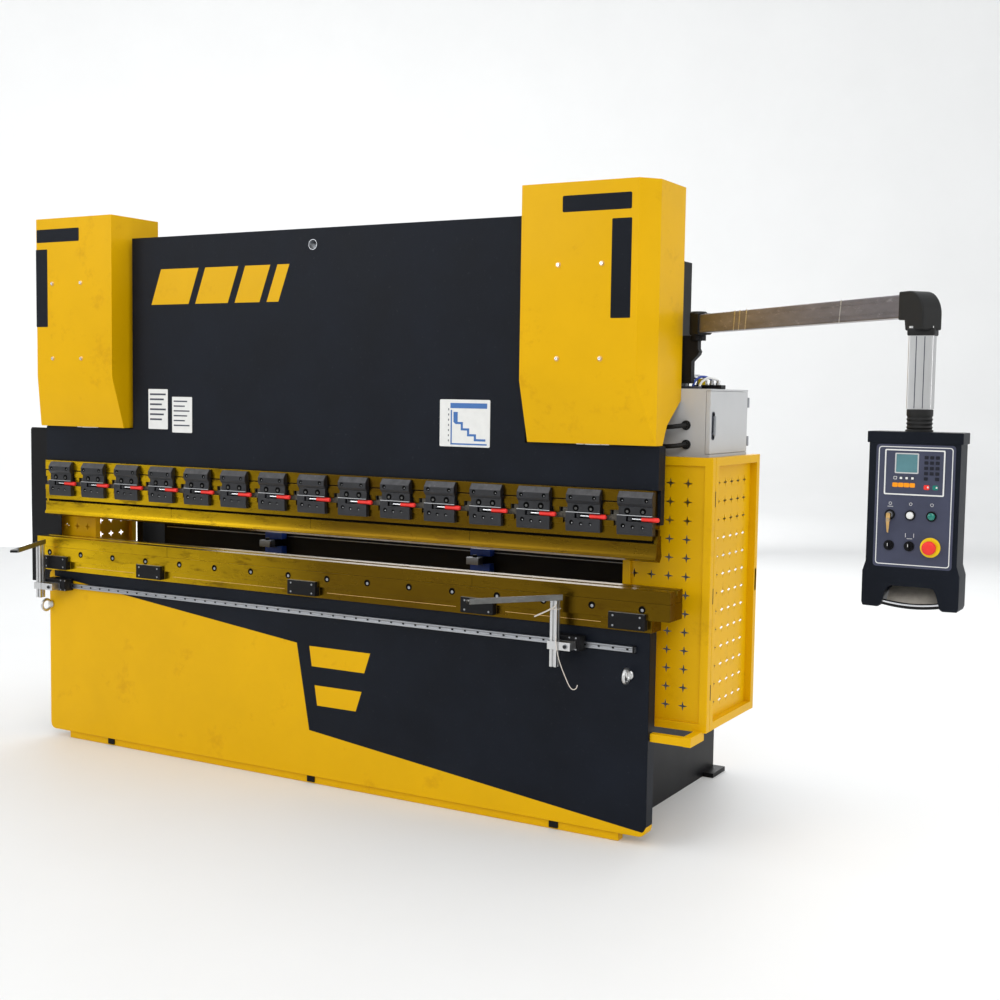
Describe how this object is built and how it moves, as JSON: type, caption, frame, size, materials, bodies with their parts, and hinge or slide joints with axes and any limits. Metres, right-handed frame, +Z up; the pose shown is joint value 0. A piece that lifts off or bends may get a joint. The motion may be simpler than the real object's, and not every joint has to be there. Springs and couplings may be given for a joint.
{
  "type": "press brake",
  "caption": "Hydraulic press brake: a ram with quick clamps over a die, two covered cylinders, side guards, front sheet supports and a swinging control pendant.",
  "frame": {"origin": "on the floor, in the middle of the underside of the bed's plinth, under the bend line", "axes": "+Z up, the front faces -Y, +X to the right along the bend line"},
  "size_m": [4.675, 1.889, 2.507],
  "materials": {
    "bed_plate": "yellow paint, satin",
    "left_side_frame": "black finish, satin",
    "right_side_frame": "black finish, satin",
    "rear_beam": "yellow paint, satin",
    "oil_tank": "black finish, satin",
    "pump_motor": "light grey paint, satin",
    "left_cylinder": "ground steel",
    "right_cylinder": "ground steel",
    "left_cylinder_cover": "yellow paint, satin",
    "right_cylinder_cover": "yellow paint, satin",
    "die_rail": "gold-coloured passivated steel",
    "die_block": "gold-coloured passivated steel",
    "front_rail": "ground steel",
    "left_ring_bolt": "ground steel",
    "right_ring_bolt": "ground steel",
    "left_guard_cage": "yellow paint, satin",
    "right_guard_frame": "yellow paint, satin",
    "left_side_shield": "black finish, satin",
    "cabinet_body": "light grey paint, satin",
    "upper_conduit": "black hose",
    "lower_conduit": "black hose",
    "ram_plate": "blue-black paint, satin",
    "clamp_holder": "black finish, satin",
    "punch": "gold-coloured passivated steel",
    "left_piston_rod": "hard chrome, polished",
    "right_piston_rod": "hard chrome, polished",
    "clamp_lever_01": "red plastic",
    "clamp_lever_02": "red plastic",
    "clamp_lever_03": "red plastic",
    "clamp_lever_04": "red plastic",
    "clamp_lever_05": "red plastic",
    "clamp_lever_06": "red plastic",
    "clamp_lever_07": "red plastic",
    "clamp_lever_08": "red plastic",
    "clamp_lever_09": "red plastic",
    "clamp_lever_10": "red plastic",
    "clamp_lever_11": "red plastic",
    "clamp_lever_12": "red plastic",
    "clamp_lever_13": "red plastic",
    "clamp_lever_14": "red plastic",
    "clamp_lever_15": "red plastic",
    "sync_shaft": "ground steel",
    "back_gauge": "black finish, satin",
    "cabinet_door": "light grey paint, satin",
    "cabinet_latch": "ground steel",
    "right_guard_door": "yellow paint, satin",
    "left_support_carriage": "black finish, satin",
    "left_support_stem": "brushed aluminium",
    "left_support_arm": "brushed aluminium",
    "right_support_carriage": "black finish, satin",
    "right_support_stem": "brushed aluminium",
    "right_support_arm": "brushed aluminium",
    "pendant_arm": "brushed aluminium",
    "pendant_box": "blue-black paint, satin",
    "key_switch": "ground steel",
    "white_button": "white plastic",
    "green_button": "green plastic",
    "left_selector": "black plastic",
    "middle_selector": "black plastic",
    "stop_button": "red plastic"
  },
  "bodies": {
    "frame": {"bed_plate": "bed_plate", "left_side_frame": "left_side_frame", "right_side_frame": "right_side_frame", "rear_beam": "rear_beam", "oil_tank": "oil_tank", "pump_motor": "pump_motor", "left_cylinder": "left_cylinder", "right_cylinder": "right_cylinder", "left_cylinder_cover": "left_cylinder_cover", "right_cylinder_cover": "right_cylinder_cover", "die_rail": "die_rail", "die_block": "die_block", "front_rail": "front_rail", "left_ring_bolt": "left_ring_bolt", "right_ring_bolt": "right_ring_bolt", "left_guard_cage": "left_guard_cage", "right_guard_frame": "right_guard_frame", "left_side_shield": "left_side_shield", "cabinet_body": "cabinet_body", "upper_conduit": "upper_conduit", "lower_conduit": "lower_conduit"},
    "ram": {"ram_plate": "ram_plate", "clamp_holder": "clamp_holder", "punch": "punch", "left_piston_rod": "left_piston_rod", "right_piston_rod": "right_piston_rod"},
    "clamp_lever_01": {"clamp_lever_01": "clamp_lever_01"},
    "clamp_lever_02": {"clamp_lever_02": "clamp_lever_02"},
    "clamp_lever_03": {"clamp_lever_03": "clamp_lever_03"},
    "clamp_lever_04": {"clamp_lever_04": "clamp_lever_04"},
    "clamp_lever_05": {"clamp_lever_05": "clamp_lever_05"},
    "clamp_lever_06": {"clamp_lever_06": "clamp_lever_06"},
    "clamp_lever_07": {"clamp_lever_07": "clamp_lever_07"},
    "clamp_lever_08": {"clamp_lever_08": "clamp_lever_08"},
    "clamp_lever_09": {"clamp_lever_09": "clamp_lever_09"},
    "clamp_lever_10": {"clamp_lever_10": "clamp_lever_10"},
    "clamp_lever_11": {"clamp_lever_11": "clamp_lever_11"},
    "clamp_lever_12": {"clamp_lever_12": "clamp_lever_12"},
    "clamp_lever_13": {"clamp_lever_13": "clamp_lever_13"},
    "clamp_lever_14": {"clamp_lever_14": "clamp_lever_14"},
    "clamp_lever_15": {"clamp_lever_15": "clamp_lever_15"},
    "sync_shaft": {"sync_shaft": "sync_shaft"},
    "back_gauge": {"back_gauge": "back_gauge"},
    "cabinet_door": {"cabinet_door": "cabinet_door"},
    "cabinet_latch": {"cabinet_latch": "cabinet_latch"},
    "guard_door": {"right_guard_door": "right_guard_door"},
    "left_carriage": {"left_support_carriage": "left_support_carriage"},
    "left_stem": {"left_support_stem": "left_support_stem"},
    "left_arm": {"left_support_arm": "left_support_arm"},
    "right_carriage": {"right_support_carriage": "right_support_carriage"},
    "right_stem": {"right_support_stem": "right_support_stem"},
    "right_arm": {"right_support_arm": "right_support_arm"},
    "pendant_arm": {"pendant_arm": "pendant_arm"},
    "pendant": {"pendant_box": "pendant_box"},
    "key_switch": {"key_switch": "key_switch"},
    "white_button": {"white_button": "white_button"},
    "green_button": {"green_button": "green_button"},
    "left_selector": {"left_selector": "left_selector"},
    "middle_selector": {"middle_selector": "middle_selector"},
    "stop_button": {"stop_button": "stop_button"}
  },
  "joints": [
    {"name": "ram_slide", "type": "slide", "parent": "frame", "child": "ram", "axis": [0, 0, 1], "range_m": [-0.104, 0]},
    {"name": "clamp_lever_01_turn", "type": "hinge", "parent": "ram", "child": "clamp_lever_01", "pos_m": [-1.508, -0.0545, 1.2545], "axis": [0, 0, 1], "range_deg": [-95, 0]},
    {"name": "clamp_lever_02_turn", "type": "hinge", "parent": "ram", "child": "clamp_lever_02", "pos_m": [-1.2918, -0.0545, 1.2545], "axis": [0, 0, 1], "range_deg": [-95, 0]},
    {"name": "clamp_lever_03_turn", "type": "hinge", "parent": "ram", "child": "clamp_lever_03", "pos_m": [-1.0756, -0.0545, 1.2545], "axis": [0, 0, 1], "range_deg": [-95, 0]},
    {"name": "clamp_lever_04_turn", "type": "hinge", "parent": "ram", "child": "clamp_lever_04", "pos_m": [-0.8594, -0.0545, 1.2545], "axis": [0, 0, 1], "range_deg": [-95, 0]},
    {"name": "clamp_lever_05_turn", "type": "hinge", "parent": "ram", "child": "clamp_lever_05", "pos_m": [-0.6432, -0.0545, 1.2545], "axis": [0, 0, 1], "range_deg": [-95, 0]},
    {"name": "clamp_lever_06_turn", "type": "hinge", "parent": "ram", "child": "clamp_lever_06", "pos_m": [-0.427, -0.0545, 1.2545], "axis": [0, 0, 1], "range_deg": [-95, 0]},
    {"name": "clamp_lever_07_turn", "type": "hinge", "parent": "ram", "child": "clamp_lever_07", "pos_m": [-0.2108, -0.0545, 1.2545], "axis": [0, 0, 1], "range_deg": [-95, 0]},
    {"name": "clamp_lever_08_turn", "type": "hinge", "parent": "ram", "child": "clamp_lever_08", "pos_m": [0.0054, -0.0545, 1.2545], "axis": [0, 0, 1], "range_deg": [-95, 0]},
    {"name": "clamp_lever_09_turn", "type": "hinge", "parent": "ram", "child": "clamp_lever_09", "pos_m": [0.2216, -0.0545, 1.2545], "axis": [0, 0, 1], "range_deg": [-95, 0]},
    {"name": "clamp_lever_10_turn", "type": "hinge", "parent": "ram", "child": "clamp_lever_10", "pos_m": [0.4378, -0.0545, 1.2545], "axis": [0, 0, 1], "range_deg": [-95, 0]},
    {"name": "clamp_lever_11_turn", "type": "hinge", "parent": "ram", "child": "clamp_lever_11", "pos_m": [0.654, -0.0545, 1.2545], "axis": [0, 0, 1], "range_deg": [-95, 0]},
    {"name": "clamp_lever_12_turn", "type": "hinge", "parent": "ram", "child": "clamp_lever_12", "pos_m": [0.8702, -0.0545, 1.2545], "axis": [0, 0, 1], "range_deg": [-95, 0]},
    {"name": "clamp_lever_13_turn", "type": "hinge", "parent": "ram", "child": "clamp_lever_13", "pos_m": [1.0864, -0.0545, 1.2545], "axis": [0, 0, 1], "range_deg": [-95, 0]},
    {"name": "clamp_lever_14_turn", "type": "hinge", "parent": "ram", "child": "clamp_lever_14", "pos_m": [1.3026, -0.0545, 1.2545], "axis": [0, 0, 1], "range_deg": [-95, 0]},
    {"name": "clamp_lever_15_turn", "type": "hinge", "parent": "ram", "child": "clamp_lever_15", "pos_m": [1.5188, -0.0545, 1.2545], "axis": [0, 0, 1], "range_deg": [-95, 0]},
    {"name": "sync_turn", "type": "hinge", "parent": "frame", "child": "sync_shaft", "pos_m": [0, 0.22, 1.56], "axis": [1, 0, 0], "range_deg": [0, 40]},
    {"name": "gauge_slide", "type": "slide", "parent": "frame", "child": "back_gauge", "axis": [0, 1, 0], "range_m": [-0.26, 0.3]},
    {"name": "cabinet_door_swing", "type": "hinge", "parent": "frame", "child": "cabinet_door", "pos_m": [1.737, 0.586, 1.6175], "axis": [0, 0, 1], "range_deg": [0, 110]},
    {"name": "cabinet_latch_turn", "type": "hinge", "parent": "cabinet_door", "child": "cabinet_latch", "pos_m": [1.738, 0.204, 1.575], "axis": [1, 0, 0], "range_deg": [0, 90]},
    {"name": "guard_door_swing", "type": "hinge", "parent": "frame", "child": "guard_door", "pos_m": [1.783, 0.1345, 0.962], "axis": [0, 0, 1], "range_deg": [-110, 0]},
    {"name": "left_carriage_slide", "type": "slide", "parent": "frame", "child": "left_carriage", "axis": [1, 0, 0], "range_m": [0, 1.3]},
    {"name": "left_stem_slide", "type": "slide", "parent": "left_carriage", "child": "left_stem", "axis": [0, 0, 1], "range_m": [-0.1, 0.055]},
    {"name": "left_arm_swing", "type": "hinge", "parent": "left_stem", "child": "left_arm", "pos_m": [-1.57, -0.114, 0.957], "axis": [0, 0, 1], "range_deg": [-110, 50]},
    {"name": "right_carriage_slide", "type": "slide", "parent": "frame", "child": "right_carriage", "axis": [1, 0, 0], "range_m": [-1.3, 0.2]},
    {"name": "right_stem_slide", "type": "slide", "parent": "right_carriage", "child": "right_stem", "axis": [0, 0, 1], "range_m": [-0.1, 0.055]},
    {"name": "right_arm_swing", "type": "hinge", "parent": "right_stem", "child": "right_arm", "pos_m": [1.239, -0.114, 0.93], "axis": [0, 0, 1], "range_deg": [-42, 118]},
    {"name": "pendant_arm_swing", "type": "hinge", "parent": "frame", "child": "pendant_arm", "pos_m": [1.668, 0.205, 1.957], "axis": [0, 0, 1], "range_deg": [-45, 60]},
    {"name": "pendant_turn", "type": "hinge", "parent": "pendant_arm", "child": "pendant", "pos_m": [2.705, -0.64, 1.688], "axis": [0, 0, 1], "range_deg": [-120, 120]},
    {"name": "key_switch_turn", "type": "hinge", "parent": "pendant", "child": "key_switch", "pos_m": [2.64, -0.685, 1.377], "axis": [0, 1, 0], "range_deg": [0, 90]},
    {"name": "white_button_press", "type": "slide", "parent": "pendant", "child": "white_button", "axis": [0, 1, 0], "range_m": [0, 0.005], "stiffness_N_per_m": 300},
    {"name": "green_button_press", "type": "slide", "parent": "pendant", "child": "green_button", "axis": [0, 1, 0], "range_m": [0, 0.005], "stiffness_N_per_m": 300},
    {"name": "left_selector_turn", "type": "hinge", "parent": "pendant", "child": "left_selector", "pos_m": [2.64, -0.685, 1.286], "axis": [0, 1, 0], "range_deg": [-45, 45]},
    {"name": "middle_selector_turn", "type": "hinge", "parent": "pendant", "child": "middle_selector", "pos_m": [2.699, -0.685, 1.286], "axis": [0, 1, 0], "range_deg": [-45, 45]},
    {"name": "stop_button_press", "type": "slide", "parent": "pendant", "child": "stop_button", "axis": [0, 1, 0], "range_m": [0, 0.005], "stiffness_N_per_m": 300}
  ],
  "couplings": [
    {"joint": "sync_turn", "follows": "ram_slide", "rad_per_m": -6.6667}
  ]
}
